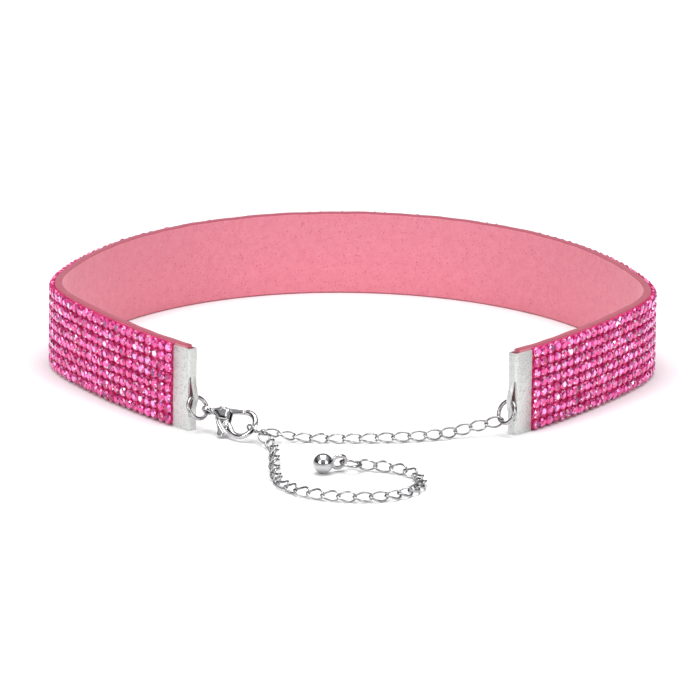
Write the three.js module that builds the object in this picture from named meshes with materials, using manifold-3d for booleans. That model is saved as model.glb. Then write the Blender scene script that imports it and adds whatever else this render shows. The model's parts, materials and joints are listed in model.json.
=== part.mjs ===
// Choker necklace: a stiff suede strip with eight rows of cut stones, a folded clamp at each end,
// a lobster clasp on the left ring and a curb chain from the right ring. The clasp holds one link
// of the chain, and the chain's tail lies in front and ends in a polished ball.
// Millimetres, +Z up. The strip stands on its lower edge, its middle towards +Y.

import * as THREE from 'three';
import { mergeVertices } from 'three/addons/utils/BufferGeometryUtils.js';
import Module from 'manifold-3d';

const wasm = await Module();
wasm.setup();

const DEG = Math.PI / 180;

// Suede strip
const BAND_LENGTH = 273;
const BAND_HEIGHT = 16;
const SUEDE = 1.4;
const END_TURN = 131.4;
// How sharply the strip bends, from the middle of the back (0) to each end (1)
const BENDS = [
  { at: 0, bend: 22 },
  { at: 0.41, bend: 15.7 },
  { at: 0.53, bend: 8 },
  { at: 0.633, bend: 52 },
  { at: 0.735, bend: 5 },
  { at: 1, bend: 8 },
];
const BAND_SECTIONS = 58;
const TRACE_STEPS = 600;

// Field of stones, as a ribbed crust with one rib for each row
const STONE_ROWS = 8;
const STONE_RISE = 1.0;
const GLUE_RISE = 0.35;
const CRUST_GAP = 0.1;
const CRUST_MARGIN = 0.25;
const BARE_STRIP = 0.6;
const RIB_TOP_SHARE = 0.4;

// Folded end clamps
const CLAMP_LEAF = 3.2;
const CLAMP_HEIGHT = 15.4;
const CLAMP_SHEET = 0.3;
const CLAMP_CLEARANCE = 0.06;
const CLAMP_HOLLOW = 0.9;
const CLAMP_CORNER = 0.5;
const STRAP_LOW = 2.3;
const STRAP_HIGH = 10.4;
const STRAP_WIDTH = 0.95;
const STRAP_BULGE = 0.95;
// The pressed-out strap's bulge, from its lower root (0) to its upper root (1)
const STRAP_RISES = [
  { at: 0, rise: 0 },
  { at: 0.14, rise: 0.1 },
  { at: 0.32, rise: 0.62 },
  { at: 0.5, rise: 1 },
  { at: 0.68, rise: 0.62 },
  { at: 0.86, rise: 0.1 },
  { at: 1, rise: 0 },
];

// Jump rings in the straps
const RING_OUTER = 4.9;
const RING_WIRE = 0.72;
const RING_SIDES = 8;
const RING_STEPS = 20;
const END_RING_STEPS = 16;
const THREAD_SLACK = 0.06;
const LEFT_RING = { lean: 30, turn: 0 };
const RIGHT_RING = { lean: 24, turn: -10 };

// Lobster clasp, drawn in its own plane from the middle of its eye
const CLAW_PLATE = 1.0;
const CLAW_BASE = 2.2;
const CLAW_BEVEL = 0.24;
const EYE_OUTER = 1.2;
const EYE_WIRE = 0.55;
const EYE_HEIGHT = 0.9;
const NECK_START = 0.9;
const NECK_WIDTH = 1.0;
const HOOK_CENTRE = new THREE.Vector2(8.7, -1.35);
const HOOK_OUTER = 3.0;
const HOOK_INNER = 1.95;
const HOOK_TIP_ANGLE = 106;
const HOOK_ROOT_ANGLE = -115;
const OUTLINE_STEP = 0.42;
const SLOT = 0.86;
const LEVER_SHEET = 0.64;
const LEVER_BEVEL = 0.12;
const GATE_GAP = 0.1;
const GATE_SLANT = 0.3;
const RIVET_RADIUS = 0.28;
const RIVET_CLEARANCE = 0.07;
const RIVET_HEAD_RADIUS = 0.46;
const RIVET_HEAD = 0.14;
const RIVET_HEAD_GAP = 0.04;
const PIVOT = new THREE.Vector2(3.4, 0.5);
const CLASP_YAW = 35;
const CLASP_LEAN = 42;
const EYE_ON_RING = 66;
const EYE_PULL = 0.12;

// Curb chain
const LINK_WIRE = 0.4;
const LINK_LENGTH = 3.84;
const LINK_WIDTH = 2.24;
const LINK_TWIST = 80;
const LINK_SIDES = 5;
const LINK_STEPS = 14;
const RUN_LINKS = 15;
const TAIL_LINKS = 28;
const LINK_GAP = 0.06;
const FLOOR_GAP = 0.05;
const SWAY_ROLL = 60;
const HELD_ANGLE = -14;
const HELD_SWING = 8;
const HELD_DROP = 7;
const HELD_ROLL = 0;
const HELD_SLACK = 0.65;
const HELD_FORK = new THREE.Vector3(0.1, 0.3, 0.3);
const CHAIN_ON_RING = -25;

// End of the tail
const END_RING_OUTER = 4.3;
const END_RING_WIRE = 0.56;
const END_RING_PLACE = new THREE.Vector3(-0.2, -127.6, 1.5);
const END_RING_LEAN = -7;
const TAIL_ON_RING = 10;
const BALL_DIAMETER = 3.7;
const BALL_STEPS = 10;
const BALL_PLACE = new THREE.Vector2(-5.2, -129.2);
const BALL_TURN = 24;
const LOOP_OUTER = 3.4;
const LOOP_WIRE = 0.78;
const LOOP_SINK = 0.45;
const LOOP_TILT = 20;

// Finishes
const FINISHES = {
  suede: { color: 0xe88f9f, roughness: 0.95, metalness: 0 },
  stones: { color: 0xe8409a, roughness: 0.2, metalness: 0.1 },
  clamp: { color: 0xd8dad9, roughness: 0.4, metalness: 0.9 },
  silver: { color: 0xc9cbcc, roughness: 0.15, metalness: 1 },
};

// Reads a column of a short table, straight between its rows
function readTable(rows, column, at) {
  const next = rows.findIndex((row) => row.at >= at);
  if (next <= 0) {
    return rows[next === 0 ? 0 : rows.length - 1][column];
  }
  const low = rows[next - 1];
  const high = rows[next];
  return THREE.MathUtils.mapLinear(at, low.at, high.at, low[column], high[column]);
}

// Walks along the inner face of the strip from the middle of the back to the right end
function traceBand() {
  const step = 1 / TRACE_STEPS;
  const bends = Array.from({ length: TRACE_STEPS }, (_, i) => readTable(BENDS, 'bend', (i + 0.5) * step));
  const total = bends.reduce((sum, bend) => sum + bend, 0);
  const samples = [{ x: 0, y: 0, turn: 0 }];
  for (const bend of bends) {
    const last = samples[samples.length - 1];
    const gain = (END_TURN * DEG * bend) / total;
    const heading = last.turn + gain / 2;
    const length = (BAND_LENGTH / 2) * step;
    samples.push({
      x: last.x + Math.cos(heading) * length,
      y: last.y - Math.sin(heading) * length,
      turn: last.turn + gain,
    });
  }
  return samples;
}

const TRACE = traceBand();

// Place, heading and outward direction on the strip's inner face, s mm right of the middle of the back
function bandFrame(s) {
  const side = Math.sign(s) || 1;
  const place = Math.min((Math.abs(s) / (BAND_LENGTH / 2)) * TRACE_STEPS, TRACE_STEPS);
  const low = Math.min(Math.floor(place), TRACE_STEPS - 1);
  const mix = place - low;
  const blend = (key) => THREE.MathUtils.lerp(TRACE[low][key], TRACE[low + 1][key], mix);
  const turn = blend('turn');
  return {
    point: new THREE.Vector2(side * blend('x'), blend('y')),
    away: new THREE.Vector2(side * Math.cos(turn), -Math.sin(turn)),
    out: new THREE.Vector2(side * Math.sin(turn), Math.cos(turn)),
  };
}

// A closed mesh as a solid that can be cut and joined
function toSolid(geometry) {
  const bare = geometry.clone();
  bare.deleteAttribute('normal');
  bare.deleteAttribute('uv');
  const merged = mergeVertices(bare, 1e-5);
  return new wasm.Manifold(
    new wasm.Mesh({
      numProp: 3,
      vertProperties: new Float32Array(merged.attributes.position.array),
      triVerts: new Uint32Array(merged.index.array),
    }),
  );
}

function toGeometry(solid) {
  const mesh = solid.getMesh();
  const geometry = new THREE.BufferGeometry();
  const points = new Float32Array(mesh.numVert * 3);
  for (let i = 0; i < mesh.numVert; i += 1) {
    for (let k = 0; k < 3; k += 1) {
      points[i * 3 + k] = mesh.vertProperties[i * mesh.numProp + k];
    }
  }
  geometry.setAttribute('position', new THREE.BufferAttribute(points, 3));
  geometry.setIndex(Array.from(mesh.triVerts));
  geometry.computeVertexNormals();
  return geometry;
}

function makeMesh(name, geometry, finish) {
  const mesh = new THREE.Mesh(geometry, new THREE.MeshStandardMaterial(FINISHES[finish]));
  mesh.name = name;
  return mesh;
}

// Sweeps a closed outline of (outward, up) points through stations along the strip
function sweepBand(outline, stations) {
  const points = [];
  const index = [];
  const count = outline.length;
  for (const s of stations) {
    const frame = bandFrame(s);
    for (const corner of outline) {
      const spot = frame.point.clone().addScaledVector(frame.out, corner.x);
      points.push(spot.x, spot.y, corner.y);
    }
  }
  for (let i = 0; i < stations.length - 1; i += 1) {
    for (let k = 0; k < count; k += 1) {
      const here = i * count + k;
      const above = i * count + ((k + 1) % count);
      index.push(here, above, here + count, above, above + count, here + count);
    }
  }
  const last = (stations.length - 1) * count;
  for (const [a, b, c] of THREE.ShapeUtils.triangulateShape(outline, [])) {
    index.push(a, c, b, last + a, last + b, last + c);
  }
  const geometry = new THREE.BufferGeometry();
  geometry.setAttribute('position', new THREE.BufferAttribute(new Float32Array(points), 3));
  geometry.setIndex(index);
  geometry.computeVertexNormals();
  return geometry;
}

// Stations along the strip: the stretch under each clamp is straight, the rest has even sections
const CRUST_HALF = BAND_LENGTH / 2 - CLAMP_LEAF - BARE_STRIP;
const CRUST_STATIONS = Array.from(
  { length: BAND_SECTIONS + 1 },
  (_, i) => CRUST_HALF * ((2 * i) / BAND_SECTIONS - 1),
);

function suedeBand() {
  const outline = [
    new THREE.Vector2(0, 0),
    new THREE.Vector2(SUEDE, 0),
    new THREE.Vector2(SUEDE, BAND_HEIGHT),
    new THREE.Vector2(0, BAND_HEIGHT),
  ];
  const stations = [-BAND_LENGTH / 2, ...CRUST_STATIONS, BAND_LENGTH / 2];
  return makeMesh('suede_band', sweepBand(outline, stations), 'suede');
}

function stoneField() {
  const back = SUEDE + CRUST_GAP;
  const valley = SUEDE + GLUE_RISE;
  const top = SUEDE + STONE_RISE;
  const rowPitch = (BAND_HEIGHT - 2 * CRUST_MARGIN) / STONE_ROWS;
  const outline = [new THREE.Vector2(back, CRUST_MARGIN), new THREE.Vector2(valley, CRUST_MARGIN)];
  for (let row = 0; row < STONE_ROWS; row += 1) {
    const middle = CRUST_MARGIN + (row + 0.5) * rowPitch;
    const halfTop = (RIB_TOP_SHARE * rowPitch) / 2;
    outline.push(new THREE.Vector2(top, middle - halfTop), new THREE.Vector2(top, middle + halfTop));
    outline.push(new THREE.Vector2(valley, middle + rowPitch / 2));
  }
  outline.push(new THREE.Vector2(back, BAND_HEIGHT - CRUST_MARGIN));
  return makeMesh('stone_field', sweepBand(outline, CRUST_STATIONS), 'stones');
}

// Group at an end of the strip: local x points away from the strip, local z up,
// and its origin is on the floor in the middle of the strip's thickness
function endGroup(side) {
  const frame = bandFrame((side * BAND_LENGTH) / 2);
  const group = new THREE.Group();
  const middle = frame.point.clone().addScaledVector(frame.out, SUEDE / 2);
  group.position.set(middle.x, middle.y, 0);
  group.rotation.z = Math.atan2(frame.away.y, frame.away.x);
  group.updateMatrixWorld(true);
  return group;
}

const CLAMP_INNER = SUEDE / 2 + CLAMP_CLEARANCE;
const CLAMP_OUTER = CLAMP_INNER + CLAMP_SHEET;
const CLAMP_END = CLAMP_HOLLOW + CLAMP_SHEET;

function clampSheetShape() {
  const soft = CLAMP_CORNER;
  const tight = CLAMP_CORNER - CLAMP_SHEET;
  const shape = new THREE.Shape();
  shape.moveTo(-CLAMP_LEAF, -CLAMP_OUTER);
  shape.lineTo(CLAMP_END - soft, -CLAMP_OUTER);
  shape.absarc(CLAMP_END - soft, soft - CLAMP_OUTER, soft, -Math.PI / 2, 0, false);
  shape.absarc(CLAMP_END - soft, CLAMP_OUTER - soft, soft, 0, Math.PI / 2, false);
  shape.lineTo(-CLAMP_LEAF, CLAMP_OUTER);
  shape.lineTo(-CLAMP_LEAF, CLAMP_INNER);
  shape.lineTo(CLAMP_HOLLOW - tight, CLAMP_INNER);
  shape.absarc(CLAMP_HOLLOW - tight, CLAMP_INNER - tight, tight, Math.PI / 2, 0, true);
  shape.absarc(CLAMP_HOLLOW - tight, tight - CLAMP_INNER, tight, 0, -Math.PI / 2, true);
  shape.lineTo(-CLAMP_LEAF, -CLAMP_INNER);
  return shape;
}

// The strap's side view: x away from the strip, y up
function strapShape() {
  const height = STRAP_HIGH - STRAP_LOW;
  const outer = STRAP_RISES.map(
    ({ at, rise }) => new THREE.Vector2(CLAMP_END + STRAP_BULGE * rise, STRAP_LOW + at * height),
  );
  const inner = outer.map((point) => new THREE.Vector2(point.x - CLAMP_SHEET, point.y)).reverse();
  return new THREE.Shape([...outer, ...inner]);
}

function endClamp(name) {
  const folded = toSolid(new THREE.ExtrudeGeometry(clampSheetShape(), {
    depth: CLAMP_HEIGHT,
    bevelEnabled: false,
    curveSegments: 4,
  }));
  const rootBite = CLAMP_SHEET;
  const windowHeight = STRAP_HIGH - STRAP_LOW - 2 * rootBite;
  const window = new THREE.BoxGeometry(2 * CLAMP_SHEET, 2 * CLAMP_OUTER, windowHeight);
  window.translate(CLAMP_END, 0, (STRAP_LOW + STRAP_HIGH) / 2);
  const strap = new THREE.ExtrudeGeometry(strapShape(), { depth: STRAP_WIDTH, bevelEnabled: false });
  strap.rotateX(Math.PI / 2);
  strap.translate(0, STRAP_WIDTH / 2, 0);
  const solid = folded.subtract(toSolid(window)).add(toSolid(strap));
  return makeMesh(name, toGeometry(solid), 'clamp');
}

const RING_RADIUS = (RING_OUTER - RING_WIRE) / 2;
const THREAD_HEIGHT = (STRAP_LOW + STRAP_HIGH) / 2;
const THREAD_OUT = CLAMP_END + STRAP_BULGE - CLAMP_SHEET - RING_WIRE / 2 - THREAD_SLACK;

// Where a jump ring hangs: its middle, the direction it hangs in and the direction across
function ringPose(group, { lean, turn }) {
  const down = new THREE.Vector3(Math.sin(lean * DEG), 0, -Math.cos(lean * DEG));
  const across = new THREE.Vector3(0, 1, 0);
  const axis = new THREE.Vector3(0, 0, 1);
  down.applyAxisAngle(axis, turn * DEG);
  across.applyAxisAngle(axis, turn * DEG);
  const middle = new THREE.Vector3(THREAD_OUT, 0, THREAD_HEIGHT).addScaledVector(down, RING_RADIUS);
  return {
    middle: middle.applyMatrix4(group.matrixWorld),
    down: down.transformDirection(group.matrixWorld),
    across: across.transformDirection(group.matrixWorld),
  };
}

// A round wire ring that lies in the plane of two directions
function wireRing(name, outer, wire, steps, middle, first, second) {
  const geometry = new THREE.TorusGeometry((outer - wire) / 2, wire / 2, RING_SIDES, steps);
  const normal = first.clone().cross(second).normalize();
  const mesh = makeMesh(name, geometry, 'silver');
  const basis = new THREE.Matrix4().makeBasis(first, second, normal);
  mesh.setRotationFromMatrix(basis);
  mesh.position.copy(middle);
  return mesh;
}

// Outline of the claw in its plane, x from the eye to the hook, y towards the gate
function clawShape() {
  const inner = new THREE.Vector2(HOOK_CENTRE.x - 0.1, HOOK_CENTRE.y);
  const shape = new THREE.Shape();
  shape.absarc(HOOK_CENTRE.x, HOOK_CENTRE.y, HOOK_OUTER, HOOK_TIP_ANGLE * DEG, HOOK_ROOT_ANGLE * DEG, true);
  shape.splineThru([
    new THREE.Vector2(5.65, -3.24),
    new THREE.Vector2(4.15, -2.1),
    new THREE.Vector2(2.5, -0.72),
    new THREE.Vector2(NECK_START, -NECK_WIDTH / 2),
  ]);
  shape.lineTo(NECK_START, NECK_WIDTH / 2);
  shape.splineThru([
    new THREE.Vector2(2.4, 0.86),
    new THREE.Vector2(4.3, 1.2),
    new THREE.Vector2(5.2, 0.95),
    new THREE.Vector2(5.42, 0.1),
    new THREE.Vector2(5.85, -1.33),
    new THREE.Vector2(
      inner.x + HOOK_INNER * Math.cos(-150 * DEG),
      inner.y + HOOK_INNER * Math.sin(-150 * DEG),
    ),
  ]);
  shape.absarc(inner.x, inner.y, HOOK_INNER, -150 * DEG, (HOOK_TIP_ANGLE - 4) * DEG, false);
  return shape;
}

function baseShape() {
  const shape = new THREE.Shape();
  shape.moveTo(1.5, -0.42);
  shape.splineThru([
    new THREE.Vector2(2.5, -0.6),
    new THREE.Vector2(4.1, -1.95),
    new THREE.Vector2(5.1, -2.75),
    new THREE.Vector2(5.75, -2.3),
    new THREE.Vector2(5.6, -1.1),
    new THREE.Vector2(5.3, 0.1),
    new THREE.Vector2(5.1, 0.85),
    new THREE.Vector2(4.3, 1.1),
    new THREE.Vector2(2.4, 0.78),
    new THREE.Vector2(1.5, 0.42),
  ]);
  return shape;
}

// Outline of the lever: the gate runs right from the pivot, the thumb piece down and left
function leverShape() {
  const shape = new THREE.Shape();
  const tip = HOOK_CENTRE.x + HOOK_OUTER * Math.cos(HOOK_TIP_ANGLE * DEG) - GATE_GAP;
  shape.moveTo(tip, 1.42);
  shape.lineTo(PIVOT.x + 0.9, 1.2);
  shape.quadraticCurveTo(PIVOT.x - 0.1, 1.2, PIVOT.x - 0.62, PIVOT.y + 0.1);
  shape.quadraticCurveTo(2.35, 0.05, 2.15, -0.55);
  shape.splineThru([
    new THREE.Vector2(2.35, -1.2),
    new THREE.Vector2(3.2, -2.35),
    new THREE.Vector2(4.0, -3.45),
    new THREE.Vector2(4.3, -4.42),
    new THREE.Vector2(4.95, -4.66),
    new THREE.Vector2(5.6, -4.5),
    new THREE.Vector2(5.66, -3.75),
    new THREE.Vector2(4.9, -3.1),
    new THREE.Vector2(3.9, -2.3),
    new THREE.Vector2(3.05, -1.4),
    new THREE.Vector2(3.2, -0.75),
    new THREE.Vector2(4.1, -0.2),
    new THREE.Vector2(5.8, 0.3),
    new THREE.Vector2(tip + GATE_SLANT, 0.62),
  ]);
  return shape;
}

// A plate cut from a shape, its middle in the plane z = 0, with softened edges
function plate(shape, thickness, bevel, segments) {
  const points = [];
  for (const point of shape.extractPoints(segments).shape) {
    if (!points.length || point.distanceTo(points[points.length - 1]) > OUTLINE_STEP) {
      points.push(point);
    }
  }
  const geometry = new THREE.ExtrudeGeometry(new THREE.Shape(points), {
    depth: thickness - 2 * bevel,
    bevelEnabled: bevel > 0,
    bevelThickness: bevel,
    bevelSize: bevel,
    bevelOffset: -bevel,
    bevelSegments: 1,
  });
  geometry.translate(0, 0, bevel - thickness / 2);
  return geometry;
}

// A round bar that crosses the clasp at a point of its plane
function crossBar(centre, radius) {
  const bar = new THREE.CylinderGeometry(radius, radius, 2 * CLAW_BASE, 14);
  bar.rotateX(Math.PI / 2);
  bar.translate(centre.x, centre.y, 0);
  return toSolid(bar);
}

// The eye is turned across the claw, so that the jump ring's wire passes it upright
function claspEye() {
  const eye = new THREE.TorusGeometry(EYE_OUTER - EYE_WIRE / 2, EYE_WIRE / 2, 8, 16);
  eye.rotateX(Math.PI / 2);
  eye.scale(1, EYE_HEIGHT / EYE_WIRE, 1);
  return toSolid(eye);
}

function claspClaw() {
  const slotBox = new THREE.BoxGeometry(4.3, 3.4, SLOT);
  slotBox.translate(1.75 + 4.3 / 2, -1.45 + 3.4 / 2, 0);
  const solid = toSolid(plate(clawShape(), CLAW_PLATE, CLAW_BEVEL, 9))
    .add(toSolid(plate(baseShape(), CLAW_BASE, CLAW_BEVEL, 1)))
    .add(claspEye())
    .subtract(toSolid(slotBox))
    .subtract(crossBar(PIVOT, RIVET_RADIUS + RIVET_CLEARANCE));
  return makeMesh('clasp_claw', toGeometry(solid), 'silver');
}

function claspLever() {
  const bore = crossBar(PIVOT, RIVET_RADIUS + RIVET_CLEARANCE);
  const solid = toSolid(plate(leverShape(), LEVER_SHEET, LEVER_BEVEL, 3)).subtract(bore);
  return makeMesh('clasp_lever', toGeometry(solid), 'silver');
}

function claspRivet() {
  const half = CLAW_BASE / 2 + RIVET_HEAD_GAP;
  const profile = [
    new THREE.Vector2(0, -half - RIVET_HEAD),
    new THREE.Vector2(RIVET_HEAD_RADIUS * 0.7, -half - RIVET_HEAD),
    new THREE.Vector2(RIVET_HEAD_RADIUS, -half),
    new THREE.Vector2(RIVET_RADIUS, -half),
    new THREE.Vector2(RIVET_RADIUS, half),
    new THREE.Vector2(RIVET_HEAD_RADIUS, half),
    new THREE.Vector2(RIVET_HEAD_RADIUS * 0.7, half + RIVET_HEAD),
    new THREE.Vector2(0, half + RIVET_HEAD),
  ];
  const geometry = new THREE.LatheGeometry(profile, 12);
  geometry.rotateX(Math.PI / 2);
  geometry.translate(PIVOT.x, PIVOT.y, 0);
  return makeMesh('clasp_rivet', geometry, 'silver');
}

// The clasp's plane: along points from the eye to the hook, up to the gate, face to the viewer
const CLASP_ALONG = new THREE.Vector3(Math.cos(CLASP_YAW * DEG), -Math.sin(CLASP_YAW * DEG), 0);
const CLASP_UP = new THREE.Vector3(Math.sin(CLASP_YAW * DEG), Math.cos(CLASP_YAW * DEG), 0)
  .multiplyScalar(Math.sin(CLASP_LEAN * DEG))
  .add(new THREE.Vector3(0, 0, Math.cos(CLASP_LEAN * DEG)));
const CLASP_FACE = CLASP_ALONG.clone().cross(CLASP_UP);

function claspGroup(ring) {
  const onWire = ring.down.clone().multiplyScalar(Math.cos(EYE_ON_RING * DEG))
    .addScaledVector(ring.across, Math.sin(EYE_ON_RING * DEG));
  const eye = ring.middle.clone().addScaledVector(onWire, RING_RADIUS)
    .addScaledVector(CLASP_ALONG, EYE_PULL);
  const group = new THREE.Group();
  group.setRotationFromMatrix(new THREE.Matrix4().makeBasis(CLASP_ALONG, CLASP_UP, CLASP_FACE));
  group.position.copy(eye);
  group.updateMatrixWorld(true);
  group.add(claspClaw(), claspLever(), claspRivet());
  return group;
}

const LINK_A = (LINK_LENGTH - LINK_WIRE) / 2;
const LINK_B = (LINK_WIDTH - LINK_WIRE) / 2;

// A point on a link's centre line, at an angle from its far end: x along the link
function linkPoint(angle) {
  const along = Math.cos(angle);
  const side = LINK_B * Math.sin(angle);
  const twist = (along * LINK_TWIST * DEG) / 2;
  return new THREE.Vector3(LINK_A * along, side * Math.cos(twist), side * Math.sin(twist));
}

// One twisted oval link, its wire wrapped round the closed centre line
function linkGeometry() {
  const geometry = new THREE.TorusGeometry(1, LINK_WIRE / 2, LINK_SIDES, LINK_STEPS);
  const position = geometry.attributes.position;
  for (let ringSide = 0; ringSide <= LINK_SIDES; ringSide += 1) {
    for (let step = 0; step <= LINK_STEPS; step += 1) {
      const angle = ((step % LINK_STEPS) / LINK_STEPS) * 2 * Math.PI;
      const round = ((ringSide % LINK_SIDES) / LINK_SIDES) * 2 * Math.PI;
      const middle = linkPoint(angle);
      const nudge = 1e-3;
      const tangent = linkPoint(angle + nudge).sub(linkPoint(angle - nudge)).normalize();
      const lift = tangent.clone().cross(middle).normalize();
      const outward = lift.clone().cross(tangent);
      middle.addScaledVector(outward, (Math.cos(round) * LINK_WIRE) / 2);
      middle.addScaledVector(lift, (-Math.sin(round) * LINK_WIRE) / 2);
      position.setXYZ(ringSide * (LINK_STEPS + 1) + step, middle.x, middle.y, middle.z);
    }
  }
  return geometry;
}

const LINK_GEOMETRY = linkGeometry();

// How far a level link that is rolled about its length reaches below its middle
function linkDrop(roll) {
  let lowest = 0;
  for (let step = 0; step < LINK_STEPS; step += 1) {
    const point = linkPoint((step / LINK_STEPS) * 2 * Math.PI);
    lowest = Math.min(lowest, point.y * Math.sin(roll * DEG) + point.z * Math.cos(roll * DEG));
  }
  return LINK_WIRE / 2 - lowest;
}

// Half the distance between the places where a link hooks into its two neighbours
const LINK_REACH = LINK_A - LINK_WIRE / 2 - LINK_GAP / 2;

// A link with its middle at a point, its length along one direction and its width along another
function placeLink(name, middle, along, across) {
  const mesh = makeMesh(name, LINK_GEOMETRY.clone(), 'silver');
  const face = along.clone().cross(across).normalize();
  const width = face.clone().cross(along).normalize();
  mesh.setRotationFromMatrix(new THREE.Matrix4().makeBasis(along, width, face));
  mesh.position.copy(middle);
  return mesh;
}

// A column of a route's table at a share of the route's length
function readRoute(route, curve, share, column) {
  const place = curve.getUtoTmapping(share) * (route.length - 1);
  const low = Math.min(Math.floor(place), route.length - 2);
  return THREE.MathUtils.lerp(route[low][column], route[low + 1][column], place - low);
}

// Links one after another along a route whose rows are { point, roll, sway }; roll 0 lies flat,
// and sway is how far every other contact lies to one side
function layChain(prefix, route, count) {
  const curve = new THREE.CatmullRomCurve3(route.map((row) => row.point), false, 'centripetal');
  curve.arcLengthDivisions = 900;
  const contacts = curve.getSpacedPoints(count);
  const swing = (i) => (Math.floor(i) % 2 ? 1 : -1) * readRoute(route, curve, i / count, 'sway');
  for (let i = 1; i < count; i += 1) {
    const ahead = curve.getTangentAt(i / count);
    contacts[i].add(new THREE.Vector3(-ahead.y, ahead.x, 0).multiplyScalar(swing(i)));
  }
  const links = [];
  for (let i = 0; i < count; i += 1) {
    const along = contacts[i + 1].clone().sub(contacts[i]).normalize();
    const roll = readRoute(route, curve, (i + 0.5) / count, 'roll') + SWAY_ROLL * swing(i + 0.5);
    const level = new THREE.Vector3(-along.y, along.x, 0).normalize();
    const across = level.applyAxisAngle(along, roll * DEG);
    const middle = contacts[i].clone().add(contacts[i + 1]).multiplyScalar(0.5);
    links.push(placeLink(`${prefix}_${String(i + 1).padStart(2, '0')}`, middle, along, across));
  }
  return links;
}

// Route of the run from the held link to the right ring: x and y on the floor, how far the links
// are lifted above their resting height, and their roll
const RUN_ROUTE = [
  { x: -9.3, y: -108.1, lift: 0, roll: 34, sway: 0 },
  { x: -3.2, y: -108.4, lift: 0, roll: 36, sway: 0 },
  { x: 2.5, y: -108.2, lift: 0, roll: 40, sway: 0 },
  { x: 8.4, y: -107.5, lift: 0, roll: 48, sway: 0 },
  { x: 14.2, y: -106.2, lift: 0, roll: 56, sway: 0 },
  { x: 18.6, y: -104.2, lift: 0.1, roll: 62, sway: 0 },
  { x: 22.4, y: -102.8, lift: 0.8, roll: 66, sway: 0 },
];

// Route of the loose tail from the held link to the end ring
const TAIL_ROUTE = [
  { x: -14.4, y: -114.5, lift: 0, roll: 55, sway: 0.06 },
  { x: -14.0, y: -119.2, lift: 0, roll: 36, sway: 0.18 },
  { x: -14.0, y: -125.2, lift: 0, roll: 24, sway: 0.2 },
  { x: -13.8, y: -131.2, lift: 0, roll: 24, sway: 0.2 },
  { x: -13.3, y: -137.0, lift: 0, roll: 30, sway: 0.18 },
  { x: -11.0, y: -142.2, lift: 0, roll: 38, sway: 0.1 },
  { x: -6.4, y: -146.3, lift: 0, roll: 45, sway: 0.06 },
  { x: -0.3, y: -147.9, lift: 0, roll: 48, sway: 0.06 },
  { x: 6.0, y: -147.0, lift: 0, roll: 40, sway: 0.08 },
  { x: 10.8, y: -142.6, lift: 0.05, roll: 24, sway: 0.1 },
  { x: 12.6, y: -136.4, lift: 0.05, roll: 0, sway: 0.1 },
  { x: 10.4, y: -130.2, lift: 0.05, roll: -40, sway: 0.06 },
  { x: 6.2, y: -128.0, lift: 0, roll: -66, sway: 0.03 },
];

function routeRows(rows) {
  return rows.map(({ x, y, lift, roll, sway }) => ({
    point: new THREE.Vector3(x, y, FLOOR_GAP + linkDrop(roll + SWAY_ROLL * sway) + lift),
    roll,
    sway,
  }));
}

// The link that the claw holds: its near end lies inside the hook, its length points out and down
function heldLink(clasp) {
  const hook = HELD_ANGLE * DEG;
  const depth = HOOK_INNER - LINK_WIRE / 2 - HELD_SLACK;
  const near = new THREE.Vector3(
    HOOK_CENTRE.x + depth * Math.cos(hook),
    HOOK_CENTRE.y + depth * Math.sin(hook),
    0,
  ).applyMatrix4(clasp.matrixWorld);
  const along = CLASP_ALONG.clone().applyAxisAngle(CLASP_UP, HELD_SWING * DEG)
    .applyAxisAngle(CLASP_FACE, -HELD_DROP * DEG);
  const across = CLASP_FACE.clone().applyAxisAngle(along, HELD_ROLL * DEG);
  const middle = near.clone().addScaledVector(along, LINK_A);
  const end = middle.clone().addScaledVector(along, LINK_REACH);
  return { mesh: placeLink('held_link', middle, along, across), end };
}

const END_RING_RADIUS = (END_RING_OUTER - END_RING_WIRE) / 2;
const END_RING_ALONG = new THREE.Vector3(
  Math.cos(END_RING_LEAN * DEG),
  0,
  Math.sin(END_RING_LEAN * DEG),
);
const END_RING_ACROSS = new THREE.Vector3(0, 1, 0);

// A point on the middle of a ring's wire, pushed on by a length in a direction
function ringContact(middle, radius, angle, first, second, from, push) {
  const point = middle.clone()
    .addScaledVector(first, radius * Math.cos(angle * DEG))
    .addScaledVector(second, radius * Math.sin(angle * DEG));
  return point.addScaledVector(point.clone().sub(from).normalize(), push);
}

function ballDrop() {
  const radius = BALL_DIAMETER / 2;
  const profile = Array.from({ length: BALL_STEPS + 1 }, (_, i) => {
    const angle = Math.PI * (i / BALL_STEPS - 0.5);
    return new THREE.Vector2(i % BALL_STEPS ? radius * Math.cos(angle) : 0, radius * Math.sin(angle));
  });
  const ball = toSolid(new THREE.LatheGeometry(profile, 2 * BALL_STEPS));
  const loop = new THREE.TorusGeometry((LOOP_OUTER - LOOP_WIRE) / 2, LOOP_WIRE / 2, RING_SIDES, 18);
  loop.rotateX(Math.PI / 2);
  loop.rotateX(LOOP_TILT * DEG);
  loop.rotateZ(BALL_TURN * DEG);
  const reach = radius + LOOP_OUTER / 2 - LOOP_SINK;
  const along = new THREE.Vector3(Math.cos(BALL_TURN * DEG), Math.sin(BALL_TURN * DEG), 0);
  loop.translate(along.x * reach, along.y * reach, along.z * reach);
  const mesh = makeMesh('ball_drop', toGeometry(ball.add(toSolid(loop))), 'silver');
  mesh.position.set(BALL_PLACE.x, BALL_PLACE.y, FLOOR_GAP + radius);
  return mesh;
}

function clampEnd(side, name) {
  const group = endGroup(side);
  group.add(endClamp(name));
  return group;
}

function jumpRing(name, ring) {
  return wireRing(name, RING_OUTER, RING_WIRE, RING_STEPS, ring.middle, ring.across, ring.down);
}

function endRing() {
  return wireRing('end_ring', END_RING_OUTER, END_RING_WIRE, END_RING_STEPS, END_RING_PLACE,
    END_RING_ALONG, END_RING_ACROSS);
}

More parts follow.
